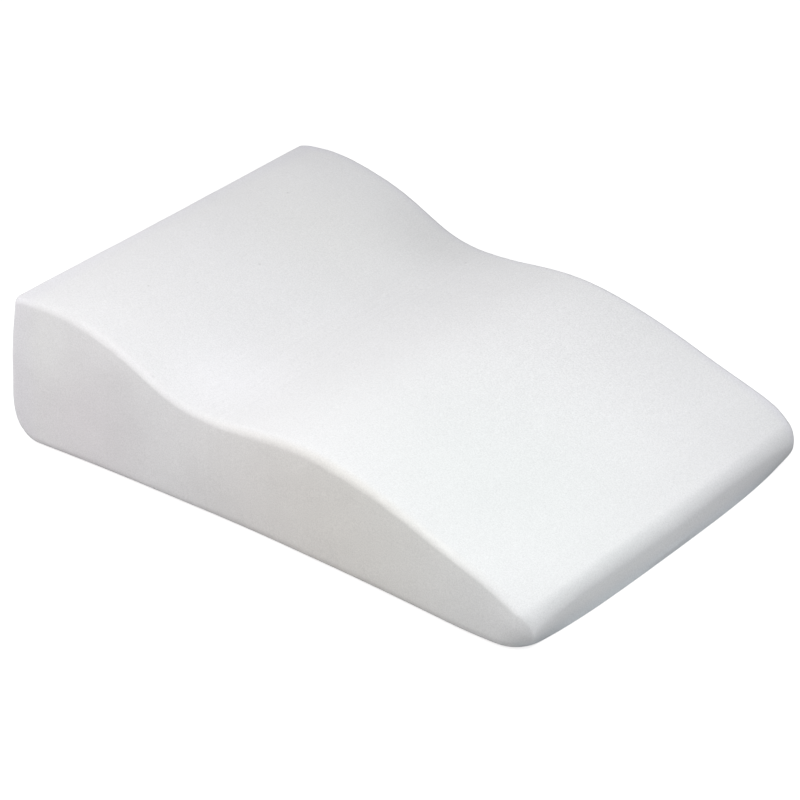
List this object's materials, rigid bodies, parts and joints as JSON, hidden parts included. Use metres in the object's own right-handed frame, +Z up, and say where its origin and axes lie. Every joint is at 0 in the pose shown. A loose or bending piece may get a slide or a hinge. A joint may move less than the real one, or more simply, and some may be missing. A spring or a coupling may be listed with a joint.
{
  "type": "leg pillow",
  "caption": "Contoured leg pillow: a wedge of covered foam with a high heel end, a hollow for the calves, a rise under the knees and a thin rounded tip.",
  "frame": {"origin": "middle of the underside, on the surface that the pillow lies on", "axes": "+X along the length towards the thin tip, +Y across the width, +Z up"},
  "size_m": [0.6995, 0.4936, 0.1814],
  "materials": {
    "cover": "white fine knit, matt"
  },
  "bodies": {
    "root": {"pillow": "cover"}
  },
  "joints": []
}
